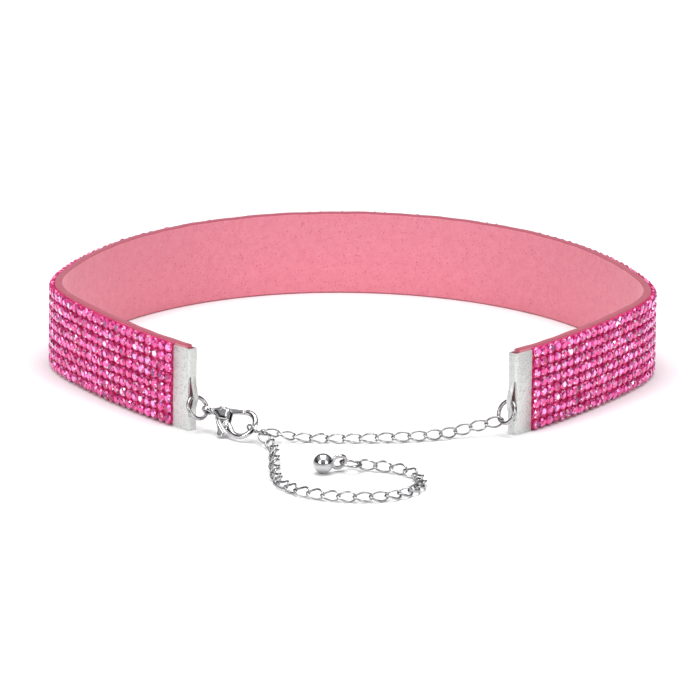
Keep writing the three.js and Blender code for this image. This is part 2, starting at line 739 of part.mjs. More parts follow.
const model = new THREE.Group();
model.name = 'choker_necklace';

const leftEnd = clampEnd(-1, 'clamp_left');
const rightEnd = clampEnd(1, 'clamp_right');
const leftRing = ringPose(leftEnd, LEFT_RING);
const rightRing = ringPose(rightEnd, RIGHT_RING);
const clasp = claspGroup(leftRing);
const held = heldLink(clasp);

const runRows = routeRows(RUN_ROUTE);
const runEnd = ringContact(rightRing.middle, RING_RADIUS, CHAIN_ON_RING, rightRing.down,
  rightRing.across, runRows[runRows.length - 1].point, RING_WIRE / 2);
const runRoute = [
  { point: held.end.clone().add(HELD_FORK), roll: 20, sway: 0 },
  ...runRows,
  { point: runEnd, roll: 66, sway: 0 },
];
const tailRows = routeRows(TAIL_ROUTE);
const tailEnd = ringContact(END_RING_PLACE, END_RING_RADIUS, TAIL_ON_RING, END_RING_ALONG,
  END_RING_ACROSS, tailRows[tailRows.length - 1].point, END_RING_WIRE / 2);
const tailRoute = [
  { point: held.end.clone().sub(HELD_FORK), roll: 20, sway: 0 },
  ...tailRows,
  { point: tailEnd, roll: -100, sway: 0 },
];

model.add(suedeBand(), stoneField(), leftEnd, rightEnd);
model.add(jumpRing('jump_ring_left', leftRing));
model.add(jumpRing('jump_ring_right', rightRing));
model.add(clasp, held.mesh);
model.add(...layChain('run_link', runRoute, RUN_LINKS));
model.add(...layChain('tail_link', tailRoute, TAIL_LINKS));
model.add(endRing());
model.add(ballDrop());

// The origin is in the middle of the part's box, on the floor
const box = new THREE.Box3().setFromObject(model, true);
model.position.set(-(box.min.x + box.max.x) / 2, -(box.min.y + box.max.y) / 2, -box.min.z);

export default model;
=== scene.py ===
"""Dresses a choker necklace: a suede strip set with cut stones, folded clamps, clasp and chain."""

import json
import logging
import math
from dataclasses import dataclass, field
from enum import Enum
from typing import Callable, Iterable, Sequence

import bpy
import numpy as np
from mathutils import Matrix, Vector
from mathutils.kdtree import KDTree

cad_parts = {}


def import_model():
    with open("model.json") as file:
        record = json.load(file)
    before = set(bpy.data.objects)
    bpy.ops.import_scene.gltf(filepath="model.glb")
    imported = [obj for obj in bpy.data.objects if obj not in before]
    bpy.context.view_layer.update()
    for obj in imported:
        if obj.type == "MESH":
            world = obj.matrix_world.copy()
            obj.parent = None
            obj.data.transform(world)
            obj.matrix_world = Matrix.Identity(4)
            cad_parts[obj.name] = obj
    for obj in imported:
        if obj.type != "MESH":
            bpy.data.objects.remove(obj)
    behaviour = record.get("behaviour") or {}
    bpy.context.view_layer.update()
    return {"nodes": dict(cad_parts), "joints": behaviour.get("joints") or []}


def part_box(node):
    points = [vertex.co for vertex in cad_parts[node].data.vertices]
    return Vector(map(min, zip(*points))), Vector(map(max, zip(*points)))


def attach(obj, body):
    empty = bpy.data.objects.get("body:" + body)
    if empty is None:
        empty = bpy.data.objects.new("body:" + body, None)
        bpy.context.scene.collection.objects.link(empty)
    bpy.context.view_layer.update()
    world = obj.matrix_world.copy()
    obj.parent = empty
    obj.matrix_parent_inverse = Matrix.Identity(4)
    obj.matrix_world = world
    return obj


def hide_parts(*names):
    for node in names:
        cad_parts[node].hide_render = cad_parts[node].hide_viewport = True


LOG = logging.getLogger("choker_necklace")
# Metres in a millimetre
MM = 0.001
# Points closer than this many millimetres are one
SAME_POINT = 0.002
# The least bend of an edge that gets rounded
EDGE_ANGLE = math.radians(28)

Colour = tuple[float, float, float]
Faces = list[tuple[int, ...]]


class Slot(Enum):
    """The record's material slots."""

    SUEDE = "suede"
    STONES = "stones"
    CLAMP = "clamp"
    SILVER = "silver"


class Body(Enum):
    """The bodies that move on their own."""

    NECKLACE = "necklace"
    LEVER = "lever"


class Shading(Enum):
    """How a mesh's faces meet."""

    FLAT = "flat"
    SMOOTH = "smooth"


class Side(Enum):
    """The two ends of the strip, as seen from the clasp's side."""

    LEFT = -1
    RIGHT = 1


class Facet(Enum):
    """The facets of a cut stone, from its flat top to its side."""

    TABLE = "table"
    STAR = "star"
    BEZEL = "bezel"
    KITE = "kite"
    LOWER = "lower"
    WALL = "wall"


# ---- helpers for meshes and materials ----


def make_object(name: str, points: np.ndarray, faces: Faces, shading: Shading) -> bpy.types.Object:
    """Makes a mesh object from points in metres.

    Args:
        name: The piece's name.
        points: One row of x, y and z for each point.
        faces: Point numbers of each face.
        shading: Flat or smooth faces.

    Returns:
        The new object, linked to the scene.
    """
    mesh = bpy.data.meshes.new(name)
    mesh.from_pydata([tuple(float(value) for value in row) for row in points], [], faces)
    mesh.validate()
    smooth = shading is Shading.SMOOTH
    mesh.polygons.foreach_set("use_smooth", [smooth] * len(mesh.polygons))
    mesh.update()
    made = bpy.data.objects.new(name, mesh)
    bpy.context.scene.collection.objects.link(made)
    return made


def dress(piece: bpy.types.Object, material: bpy.types.Material) -> None:
    """Gives a piece one material.

    Args:
        piece: The object to dress.
        material: Its only material.
    """
    if not piece.material_slots:
        piece.data.materials.append(material)
        return
    for place in piece.material_slots:
        place.material = material


def mount_piece(
    piece: bpy.types.Object, nodes: Sequence[str], body: Body = Body.NECKLACE
) -> None:
    """Makes a piece ride with a body in place of its solids.

    Args:
        piece: The finished piece.
        nodes: The solids that it stands for, or none.
        body: The body that it moves with.
    """
    if nodes:
        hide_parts(*nodes)
    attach(piece, body.value)


def soften(solid: bpy.types.Object, width: float) -> None:
    """Rounds a solid's edges a little and shades it smoothly.

    Args:
        solid: The solid.
        width: The rounding in millimetres.
    """
    solid.data.polygons.foreach_set("use_smooth", [True] * len(solid.data.polygons))
    weld = solid.modifiers.new("joined_points", "WELD")
    weld.merge_threshold = SAME_POINT * MM
    rounding = solid.modifiers.new("rounded_edges", "BEVEL")
    rounding.width = width * MM
    rounding.segments = 3
    rounding.limit_method = "ANGLE"
    rounding.angle_limit = EDGE_ANGLE
    rounding.use_clamp_overlap = True
    rounding.harden_normals = True


def even_cells(piece: bpy.types.Object, cell: float) -> None:
    """Recuts a piece's surface into even cells.

    Args:
        piece: The piece.
        cell: Size of a cell in millimetres.
    """
    cells = piece.modifiers.new("even_mesh", "REMESH")
    cells.mode = "VOXEL"
    cells.voxel_size = cell * MM
    cells.use_smooth_shade = True


def polish(piece: bpy.types.Object, rounds: int) -> None:
    """Smooths a piece's form.

    Args:
        piece: The piece.
        rounds: How often it is smoothed.
    """
    smoothing = piece.modifiers.new("polished_form", "SMOOTH")
    smoothing.factor = 0.5
    smoothing.iterations = rounds


def report(what: str, piece: bpy.types.Object) -> None:
    """Logs a finished piece with its number of faces."""
    LOG.info("%s: %s, %d faces", what, piece.name, len(piece.data.polygons))


class NodeBench:
    """A material's node tree with short ways to add and join nodes."""

    def __init__(self, name: str) -> None:
        """Starts an empty material with a Principled shader.

        Args:
            name: The material's name.
        """
        self.material = bpy.data.materials.new(name)
        self.material.use_nodes = True
        self.nodes = self.material.node_tree.nodes
        self.links = self.material.node_tree.links
        self.nodes.clear()
        self.output = self.nodes.new("ShaderNodeOutputMaterial")
        self.shader = self.nodes.new("ShaderNodeBsdfPrincipled")
        self.links.new(self.shader.outputs["BSDF"], self.output.inputs["Surface"])

    def add(self, kind: str, **settings: object) -> bpy.types.Node:
        """Adds a node.

        Args:
            kind: The node's type without its ShaderNode prefix.
            settings: Properties to set on it.

        Returns:
            The new node.
        """
        node = self.nodes.new("ShaderNode" + kind)
        for key, value in settings.items():
            setattr(node, key, value)
        return node

    def join(self, source: object, target: object) -> None:
        """Links an output to an input, or sets the input to a plain value.

        Args:
            source: An output socket or a value.
            target: The input socket.
        """
        if isinstance(source, bpy.types.NodeSocket):
            self.links.new(source, target)
        else:
            target.default_value = source

    def place(self) -> bpy.types.NodeSocket:
        """Returns the position on the object, in metres."""
        return self.add("TexCoord").outputs["Object"]

    def noise(self, where: object, scale: float, detail: float, rough: float) -> bpy.types.NodeSocket:
        """Adds a noise.

        Args:
            where: The position socket.
            scale: Waves for each metre.
            detail: Octaves.
            rough: How strong the fine octaves are.

        Returns:
            The noise's value.
        """
        node = self.add("TexNoise")
        self.join(where, node.inputs["Vector"])
        node.inputs["Scale"].default_value = scale
        node.inputs["Detail"].default_value = detail
        node.inputs["Roughness"].default_value = rough
        return node.outputs["Fac"]

    def ramp(self, value: object, stops: Sequence[tuple[float, Colour]]) -> bpy.types.NodeSocket:
        """Adds a colour ramp.

        Args:
            value: The input value.
            stops: Places and colours.

        Returns:
            The ramp's colour.
        """
        node = self.add("ValToRGB")
        band = node.color_ramp
        while len(band.elements) < len(stops):
            band.elements.new(0.5)
        for element, (spot, colour) in zip(band.elements, stops):
            element.position = spot
            element.color = (*colour, 1.0)
        self.join(value, node.inputs["Fac"])
        return node.outputs["Color"]

    def math(self, operation: str, *values: object) -> bpy.types.NodeSocket:
        """Adds a sum on one to three values.

        Args:
            operation: The kind of sum.
            values: Sockets or numbers.

        Returns:
            The result.
        """
        node = self.add("Math", operation=operation)
        for value, target in zip(values, node.inputs):
            self.join(value, target)
        return node.outputs["Value"]

    def spread(
        self, value: object, low: float, high: float, to_low: float, to_high: float
    ) -> bpy.types.NodeSocket:
        """Maps one range of a value to another.

        Args:
            value: The input value.
            low: Lower end of the input.
            high: Upper end of the input.
            to_low: Lower end of the result.
            to_high: Upper end of the result.

        Returns:
            The mapped value.
        """
        node = self.add("MapRange")
        ends = {"From Min": low, "From Max": high, "To Min": to_low, "To Max": to_high}
        for key, number in ends.items():
            node.inputs[key].default_value = number
        self.join(value, node.inputs["Value"])
        return node.outputs["Result"]

    def blend(
        self, share: object, first: object, second: object, way: str = "MIX"
    ) -> bpy.types.NodeSocket:
        """Mixes two colours.

        Args:
            share: How much of the second.
            first: A colour or socket.
            second: A colour or socket.
            way: The blend type.

        Returns:
            The mixed colour.
        """
        node = self.add("Mix", data_type="RGBA", blend_type=way)
        self.join(share, node.inputs["Factor"])
        for value, key in ((first, "A"), (second, "B")):
            socket = [entry for entry in node.inputs if entry.name == key and entry.type == "RGBA"][0]
            self.join((*value, 1.0) if isinstance(value, tuple) else value, socket)
        return [entry for entry in node.outputs if entry.type == "RGBA"][0]

    def bump(self, height: object, strength: float, depth: float) -> None:
        """Bumps the shader's surface, on top of what bumps it already.

        Args:
            height: The height socket.
            strength: Share of the full effect.
            depth: Height of a full step, in metres.
        """
        node = self.add("Bump")
        node.inputs["Strength"].default_value = strength
        node.inputs["Distance"].default_value = depth
        self.join(height, node.inputs["Height"])
        normal = self.shader.inputs["Normal"]
        if normal.is_linked:
            self.join(normal.links[0].from_socket, node.inputs["Normal"])
        self.join(node.outputs["Normal"], normal)

    def set(self, **values: object) -> None:
        """Sets the shader's inputs by name, with spaces as underscores.

        Args:
            values: Sockets or plain values.
        """
        for key, value in values.items():
            target = self.shader.inputs[key.replace("_", " ")]
            if isinstance(value, tuple) and len(value) == 3 and target.type == "RGBA":
                value = (*value, 1.0)
            self.join(value, target)


# ---- finishes ----


@dataclass(frozen=True)
class SuedeFinish:
    """Napped suede with pressed darker specks; the cut edge is a shade darker."""

    light: Colour = (0.76, 0.272, 0.338)
    deep: Colour = (0.71, 0.222, 0.286)
    speck: Colour = (0.50, 0.10, 0.17)
    edge: Colour = (0.36, 0.075, 0.11)
    sheen: Colour = (1.0, 0.72, 0.76)
    cloud_scale: float = 700
    nap_scale: float = 2600
    speck_scale: float = 3000

    def build(self) -> bpy.types.Material:
        """Mixes the suede's colours, specks and nap.

        Returns:
            The suede material.
        """
        bench = NodeBench("napped_suede")
        where = bench.place()
        cloud = bench.noise(where, self.cloud_scale, 4, 0.65)
        nap = bench.noise(where, self.nap_scale, 3, 0.7)
        colour = bench.ramp(bench.spread(cloud, 0.3, 0.7, 0, 1), [(0, self.deep), (1, self.light)])
        specks = bench.noise(where, self.speck_scale, 1, 0.4)
        share = bench.spread(specks, 0.62, 0.74, 0.0, 0.6)
        colour = bench.blend(share, colour, self.speck)
        facing = bench.add("NewGeometry").outputs["Normal"]
        split = bench.add("SeparateXYZ")
        bench.join(facing, split.inputs["Vector"])
        upward = bench.math("ABSOLUTE", split.outputs["Z"])
        colour = bench.blend(bench.spread(upward, 0.2, 0.5, 0, 0.9), colour, self.edge)
        bench.set(Base_Color=colour, Roughness=bench.spread(nap, 0.3, 0.7, 0.82, 1.0))
        bench.set(Sheen_Weight=0.45, Sheen_Roughness=0.4, Sheen_Tint=self.sheen, Specular_IOR_Level=0.15)
        bench.bump(nap, 0.5, 0.00008)
        bench.bump(specks, 0.35, 0.0002)
        return bench.material


@dataclass(frozen=True)
class GlueFinish:
    """Crimson glue, between the stones, or darkened with painted shade in the clamps' folds."""

    name: str = "crimson_glue"
    deep: Colour = (0.42, 0.005, 0.075)
    lit: Colour = (0.74, 0.018, 0.15)
    grain_scale: float = 1400

    def build(self) -> bpy.types.Material:
        """Mixes the glue's colours and grain.

        Returns:
            The glue material.
        """
        bench = NodeBench(self.name)
        where = bench.place()
        grain = bench.noise(where, self.grain_scale, 3, 0.6)
        colour = bench.ramp(bench.spread(grain, 0.35, 0.65, 0, 1), [(0, self.deep), (1, self.lit)])
        bench.set(Base_Color=colour)
        bench.set(Roughness=bench.spread(grain, 0.3, 0.7, 0.25, 0.5), Coat_Weight=0.4, Coat_Roughness=0.2)
        bench.bump(grain, 0.5, 0.00012)
        return bench.material


@dataclass(frozen=True)
class StoneFinish:
    """Cut pink stones: each facet shows its own painted reflection, painted glint or painted shade, as a
    cut stone mirrors its backing.
    """

    attribute: str = "facet_painted_light"
    glint: Colour = (1.0, 0.45, 0.8)
    flicker_scale: float = 2200

    def build(self) -> bpy.types.Material:
        """Shows each facet's painted reflection or shade, with painted glints where the noise flickers.

        Returns:
            The stones' material.
        """
        bench = NodeBench("cut_pink_stone")
        facet_light = bench.add("Attribute", attribute_name=self.attribute).outputs["Color"]
        where = bench.place()
        flicker = bench.noise(where, self.flicker_scale, 2, 0.6)
        # Painted glints: the glint colour is screened over the facets where the noise is high.
        share = bench.spread(flicker, 0.42, 0.62, 0.0, 0.16)
        colour = bench.blend(share, facet_light, self.glint, "SCREEN")
        bench.set(Base_Color=colour, Roughness=bench.spread(flicker, 0.3, 0.7, 0.04, 0.12))
        bench.set(Metallic=0.35, IOR=1.55, Specular_IOR_Level=0.5, Coat_Weight=0.35, Coat_Roughness=0.03)
        # Painted glow: the facets' painted colours also glow faintly, though the stones are no lamp.
        bench.set(Emission_Color=facet_light, Emission_Strength=0.06)
        return bench.material


@dataclass(frozen=True)
class ClampFinish:
    """Satin plated sheet, pressed with rows of small pits that are darkened with painted shade."""

    side: Side
    turn: float
    bright: Colour = (0.76, 0.78, 0.76)
    dull: Colour = (0.68, 0.70, 0.68)
    pit_shade: Colour = (0.34, 0.35, 0.36)
    pit_scale: float = 1900
    haze_scale: float = 500

    def build(self) -> bpy.types.Material:
        """Presses pits into satin sheet, turned along the clamp, and paints shade into them.

        Returns:
            The clamp's material.
        """
        bench = NodeBench(f"pitted_sheet_{self.side.name.lower()}")
        turned = bench.add("VectorRotate", rotation_type="Z_AXIS")
        bench.join(bench.place(), turned.inputs["Vector"])
        turned.inputs["Angle"].default_value = self.turn
        dots = bench.add("TexVoronoi", voronoi_dimensions="3D", feature="F1")
        bench.join(turned.outputs["Vector"], dots.inputs["Vector"])
        dots.inputs["Scale"].default_value = self.pit_scale
        dots.inputs["Randomness"].default_value = 0.75
        pit = bench.spread(dots.outputs["Distance"], 0.20, 0.36, 1.0, 0.0)
        haze = bench.noise(turned.outputs["Vector"], self.haze_scale, 3, 0.6)
        colour = bench.ramp(bench.spread(haze, 0.3, 0.7, 0, 1), [(0, self.dull), (1, self.bright)])
        # Painted shade: the pits' colour is mixed towards a dark grey.
        colour = bench.blend(bench.math("MULTIPLY", pit, 0.42), colour, self.pit_shade)
        bench.set(Base_Color=colour, Metallic=0.55, Roughness=bench.spread(haze, 0.3, 0.7, 0.36, 0.5))
        bench.bump(bench.math("MULTIPLY", pit, -1.0), 0.6, 0.00006)
        bench.bump(haze, 0.12, 0.00004)
        return bench.material


@dataclass(frozen=True)
class SilverFinish:
    """Polished silver plate with fine handling marks."""

    name: str = "polished_silver"
    bright: Colour = (0.60, 0.60, 0.61)
    dull: Colour = (0.40, 0.40, 0.41)
    rough: float = 0.1
    haze_scale: float = 420
    mark_scale: float = 3600

    def build(self) -> bpy.types.Material:
        """Mixes a slightly hazed and scratched silver.

        Returns:
            The silver material.
        """
        bench = NodeBench(self.name)
        where = bench.place()
        haze = bench.noise(where, self.haze_scale, 4, 0.6)
        fine = bench.noise(where, self.mark_scale, 2, 0.5)
        colour = bench.ramp(bench.spread(haze, 0.3, 0.7, 0, 1), [(0, self.dull), (1, self.bright)])
        bench.set(Base_Color=colour, Metallic=1.0)
        bench.set(Roughness=bench.spread(fine, 0.3, 0.7, self.rough * 0.7, self.rough * 1.5))
        bench.bump(fine, 0.08, 0.00002)
        return bench.material


@dataclass(frozen=True)
class FloorFinish:
    """Plain white table."""

    colour: Colour = (0.93, 0.93, 0.93)
    grain_scale: float = 30

    def build(self) -> bpy.types.Material:
        """Mixes two whites that are close to each other.

        Returns:
            The floor's material.
        """
        bench = NodeBench("white_table")
        grain = bench.noise(bench.place(), self.grain_scale, 2, 0.5)
        low = tuple(0.985 * value for value in self.colour)
        bench.set(Base_Color=bench.ramp(grain, [(0, low), (1, self.colour)]), Roughness=0.75)
        bench.set(Specular_IOR_Level=0.2)
        return bench.material


# Fold glue: darkened with painted shade for the shadow inside the clamps' folds.
FOLD_GLUE_IN_SHADE = GlueFinish("fold_glue_painted_shade", (0.13, 0.008, 0.02), (0.24, 0.012, 0.04))
CHAIN_SILVER = SilverFinish("drawn_silver_wire", (0.50, 0.50, 0.51), (0.30, 0.30, 0.31), 0.2)
RING_SILVER = SilverFinish("bent_silver_wire", (0.52, 0.52, 0.53), (0.34, 0.34, 0.35), 0.2)
BALL_SILVER = SilverFinish("tumbled_silver", (0.60, 0.60, 0.61), (0.44, 0.44, 0.45), 0.2)


# ---- the strip ----


@dataclass(frozen=True)
class BandFrame:
    """A place on the strip's inner face with its directions in plan."""

    point: np.ndarray
    ahead: np.ndarray
    outward: np.ndarray


@dataclass
class BandCurve:
    """The strip's curve, walked from the middle of the back to the right end and mirrored."""

    length: float = 273.0
    end_turn: float = math.radians(131.4)
    bend_at: tuple[float, ...] = (0.0, 0.41, 0.53, 0.633, 0.735, 1.0)
    bends: tuple[float, ...] = (22.0, 15.7, 8.0, 52.0, 5.0, 8.0)
    steps: int = 600
    back: float = 0.0
    trace: np.ndarray = field(default_factory=lambda: np.zeros((0, 3)))

    def __post_init__(self) -> None:
        """Walks along the strip once and keeps x, y and heading at each step."""
        middles = (np.arange(self.steps) + 0.5) / self.steps
        bend = np.interp(middles, self.bend_at, self.bends)
        gain = self.end_turn * bend / bend.sum()
        heading = np.concatenate([[0.0], np.cumsum(gain)])
        midway = heading[:-1] + gain / 2
        part = self.length / 2 / self.steps
        x = np.concatenate([[0.0], np.cumsum(np.cos(midway) * part)])
        y = self.back - np.concatenate([[0.0], np.cumsum(np.sin(midway) * part)])
        self.trace = np.stack([x, y, heading], axis=1)

    def frame(self, along: float) -> BandFrame:
        """Finds a place on the inner face.

        Args:
            along: Millimetres to the right of the middle of the back.

        Returns:
            The place and its directions.
        """
        side = -1.0 if along < 0 else 1.0
        at = min(abs(along) / (self.length / 2), 1.0) * self.steps
        x, y, turn = (np.interp(at, np.arange(self.steps + 1), self.trace[:, i]) for i in range(3))
        ahead = np.array([math.cos(turn), -side * math.sin(turn)])
        outward = np.array([side * math.sin(turn), math.cos(turn)])
        return BandFrame(np.array([side * x, y]), ahead, outward)


def sweep(
    curve: BandCurve, stations: Sequence[float], outline: Callable[[float], np.ndarray]
) -> tuple[np.ndarray, Faces]:
    """Sweeps a closed outline along the strip, and closes its ends.

    Args:
        curve: The strip's curve.
        stations: Places along it in millimetres.
        outline: Gives (outward, up) rows in millimetres at a place.

    Returns:
        Points in metres and faces.
    """
    rows = []
    for along in stations:
        spot = curve.frame(along)
        corners = outline(along)
        plan = spot.point + corners[:, :1] * spot.outward
        rows.append(np.column_stack([plan, corners[:, 1]]))
    count = len(rows[0])
    faces: Faces = []
    for i in range(len(stations) - 1):
        for k in range(count):
            here, above = i * count + k, i * count + (k + 1) % count
            faces.append((here, above, above + count, here + count))
    faces.append(tuple(reversed(range(count))))
    faces.append(tuple(range((len(stations) - 1) * count, len(stations) * count)))
    return np.vstack(rows) * MM, faces


@dataclass
class SuedeStrip:
    """The suede strip, its cut edges slightly rounded and fuzzy."""

    curve: BandCurve
    height: float = 16.0
    thickness: float = 1.4
    edge_round: float = 0.28
    edge_steps: int = 4
    edge_wave: float = 0.03
    wave_turns: tuple[float, float] = (0.9, 0.37)
    top_room: float = 0.05
    end_room: float = 0.1
    station_gap: float = 1.0

    def outline(self, along: float) -> np.ndarray:
        """Gives the strip's section.

        Args:
            along: Place along the strip in millimetres.

        Returns:
            Rows of outward and up in millimetres.
        """
        soft = self.edge_round
        fast, slow = self.wave_turns
        wave = self.edge_wave * math.sin(along * fast) + self.edge_wave * math.sin(along * slow + 1.0)
        top = self.height - self.top_room + wave
        corners = []
        for cx, cz, start in (
            (soft, soft, 180),
            (self.thickness - soft, soft, 270),
            (self.thickness - soft, top - soft, 0),
            (soft, top - soft, 90),
        ):
            for step in range(self.edge_steps):
                angle = math.radians(start + 90 * step / (self.edge_steps - 1))
                corners.append((cx + soft * math.cos(angle), cz + soft * math.sin(angle)))
        return np.array(corners)

    def build(self, finish: bpy.types.Material) -> bpy.types.Object:
        """Builds, dresses and mounts the strip.

        Args:
            finish: The suede material.

        Returns:
            The piece.
        """
        half = self.curve.length / 2 - self.end_room
        stations = np.linspace(-half, half, int(2 * half / self.station_gap) + 1)
        points, faces = sweep(self.curve, stations, self.outline)
        piece = make_object("suede_strip", points, faces, Shading.SMOOTH)
        dress(piece, finish)
        mount_piece(piece, ["suede_band"])
        report("suede strip", piece)
        return piece


@dataclass(frozen=True)
class Tone:
    """A colour painted on the stones' facets, either the stones' own pink or a painted reflection, glint
    or shade; its share of all facets, and how far tables and lower facets change it.
    """

    colour: Colour
    share: float
    on_table: float
    on_lower: float


# Facet colours: HOT is the stones' own pink; ROSE and LILAC are painted reflections, commoner on tables;
# WHITE is a painted glint; CRIMSON and PLUM are painted shade, commoner on lower facets.
HOT = Tone((0.80, 0.045, 0.27), 0.46, 0.9, 1.1)
ROSE = Tone((0.93, 0.14, 0.50), 0.14, 1.7, 0.9)
LILAC = Tone((0.90, 0.34, 0.76), 0.10, 1.8, 0.5)
WHITE = Tone((1.0, 0.80, 0.95), 0.05, 0.6, 0.6)
CRIMSON = Tone((0.36, 0.004, 0.08), 0.22, 0.5, 1.6)
PLUM = Tone((0.13, 0.008, 0.10), 0.06, 0.5, 1.6)
FACET_TONES_AND_LIGHTS = (HOT, ROSE, LILAC, WHITE, CRIMSON, PLUM)
# Painted shade on the stones' side walls.
WALL_PAINTED_SHADE: Colour = (0.60, 0.010, 0.14)


@dataclass
class StoneField:
    """Eight rows of cut stones on crimson glue."""

    curve: BandCurve
    rows: int = 8
    pitch: float = 1.9375
    edge: float = 0.25
    height: float = 16.0
    seat: float = 1.45
    bare_ends: float = 3.27
    glue: float = 0.34
    glue_margin: float = 0.06
    glue_slope: float = 0.12
    glue_stations: int = 271
    column_gap: float = 2.0
    diameter: float = 1.98
    sides: int = 8
    girdle: float = 0.55
    crown: float = 0.98
    base_share: float = 0.93
    star_share: float = 0.80
    star_lift: float = 0.04
    table_share: float = 0.52
    float_height: float = 0.06
    row_stray: float = 0.035
    column_stray: float = 0.03
    lean: float = 0.07
    seed: int = 7

    def glue_outline(self, _along: float) -> np.ndarray:
        """Gives the glue layer's section, which is the same all along.

        Args:
            _along: Place along the strip in millimetres; not used.

        Returns:
            Rows of outward and up in millimetres.
        """
        low, high = self.edge + self.glue_margin, self.height - self.edge - self.glue_margin
        face, slope = self.seat + self.glue, self.glue_slope
        return np.array([(self.seat, low), (face, low + slope), (face, high - slope), (self.seat, high)])

    def glue_bed(self, finish: bpy.types.Material) -> bpy.types.Object:
        """Builds the glue layer under the stones.

        Args:
            finish: The glue material.

        Returns:
            The piece.
        """
        half = self.curve.length / 2 - self.bare_ends
        stations = np.linspace(-half, half, self.glue_stations)
        points, faces = sweep(self.curve, stations, self.glue_outline)
        piece = make_object("glue_bed", points, faces, Shading.FLAT)
        dress(piece, finish)
        mount_piece(piece, ["stone_field"])
        report("glue", piece)
        return piece

    def stone(self) -> tuple[np.ndarray, Faces, list[Facet]]:
        """Cuts one stone, looking out along z.

        Returns:
            Points, faces and the kind of each face.
        """
        radius = self.diameter / 2
        rings: list[tuple[float, float, float]] = [
            (self.base_share * radius, 0.0, 0.0),
            (radius, self.girdle, 0.0),
            (self.star_share * radius, 0.5 * (self.girdle + self.crown) + self.star_lift, 0.5),
            (self.table_share * radius, self.crown, 0.0),
        ]
        points = []
        for reach, level, shift in rings:
            for k in range(self.sides):
                angle = 2 * math.pi * (k + shift) / self.sides
                points.append((reach * math.cos(angle), reach * math.sin(angle), level))
        n = self.sides
        faces: Faces = [tuple(range(3 * n, 4 * n))]
        kinds = [Facet.TABLE]
        for k in range(n):
            j = (k + 1) % n
            faces.append((k, j, n + j, n + k))
            kinds.append(Facet.WALL)
            faces.append((n + k, n + j, 2 * n + k))
            kinds.append(Facet.LOWER)
            faces.append((n + j, 2 * n + j, 2 * n + k))
            kinds.append(Facet.KITE)
            faces.append((2 * n + k, 2 * n + j, 3 * n + j))
            kinds.append(Facet.STAR)
            faces.append((2 * n + k, 3 * n + j, 3 * n + k))
            kinds.append(Facet.BEZEL)
        return np.array(points), faces, kinds

    def facet_light(self, kind: Facet, random: np.random.Generator) -> Colour:
        """Picks the colour that a facet shows: its own pink, a painted reflection, a painted glint or
        painted shade.

        Args:
            kind: The facet's kind.
            random: The source of chance.

        Returns:
            A linear colour.
        """
        if kind is Facet.WALL:
            return WALL_PAINTED_SHADE
        weights = np.array([tone.share for tone in FACET_TONES_AND_LIGHTS])
        if kind is Facet.TABLE:
            weights = weights * np.array([tone.on_table for tone in FACET_TONES_AND_LIGHTS])
        if kind is Facet.LOWER:
            weights = weights * np.array([tone.on_lower for tone in FACET_TONES_AND_LIGHTS])
        pick = random.choice(len(weights), p=weights / weights.sum())
        base = np.array(FACET_TONES_AND_LIGHTS[pick].colour)
        return tuple(np.clip(base * random.uniform(0.8, 1.2), 0, 1))

    def build(self, finish: bpy.types.Material, glue: bpy.types.Material) -> list[bpy.types.Object]:
        """Builds, dresses and mounts the glue and all the stones.

        Args:
            finish: The stones' material.
            glue: The glue's material.

        Returns:
            The two pieces.
        """
        random = np.random.default_rng(self.seed)
        half = self.curve.length / 2 - self.bare_ends
        columns = int(2 * half / self.column_gap)
        step = 2 * half / columns
        base, base_faces, kinds = self.stone()
        points, faces, facet_lights = [], [], []
        for column in range(columns):
            spot = self.curve.frame(-half + (column + 0.5) * step)
            axes = np.array([[*spot.ahead, 0], [0, 0, 1], [*spot.outward, 0]]).T
            if np.linalg.det(axes) < 0:
                axes[:, 0] *= -1
            for row in range(self.rows):
                up = self.edge + (row + 0.5) * self.pitch + random.normal(0, self.row_stray)
                spin = Matrix.Rotation(random.uniform(0, 2 * math.pi), 3, "Z")
                nod = Matrix.Rotation(random.normal(0, self.lean), 3, "X")
                tip = Matrix.Rotation(random.normal(0, self.lean), 3, "Y")
                turned = base @ np.array(nod @ tip @ spin).T
                middle = np.array([*spot.point, up])
                middle[:2] += spot.outward * (self.seat + self.float_height)
                middle[:2] += spot.ahead * random.normal(0, self.column_stray)
                start = len(points) * len(base)
                points.append(turned @ axes.T + middle)
                faces.extend(tuple(start + corner for corner in face) for face in base_faces)
                facet_lights.extend(self.facet_light(kind, random) for kind in kinds)
        piece = make_object("cut_stones", np.vstack(points) * MM, faces, Shading.FLAT)
        # The facets' painted reflections, glints and shade are stored per corner.
        layer = piece.data.color_attributes.new("facet_painted_light", "FLOAT_COLOR", "CORNER")
        shown = np.repeat(np.array(facet_lights), [len(face) for face in faces], axis=0)
        layer.data.foreach_set("color", np.column_stack([shown, np.ones(len(shown))]).ravel())
        dress(piece, finish)
        mount_piece(piece, [])
        report("stones", piece)
        return [self.glue_bed(glue), piece]


# ---- metal pieces ----


def axes_of(node: bpy.types.Object) -> tuple[np.ndarray, np.ndarray]:
    """Finds a solid's middle and its main directions, longest first.

    Args:
        node: The solid.

    Returns:
        The middle, and the directions as columns of a right-handed turn.
    """
    points = np.array([node.matrix_world @ corner.co for corner in node.data.vertices])
    middle = points.mean(axis=0)
    _, directions = np.linalg.eigh(np.cov((points - middle).T))
    turn = directions[:, ::-1].copy()
    if np.linalg.det(turn) < 0:
        turn[:, 2] *= -1
    return middle, turn


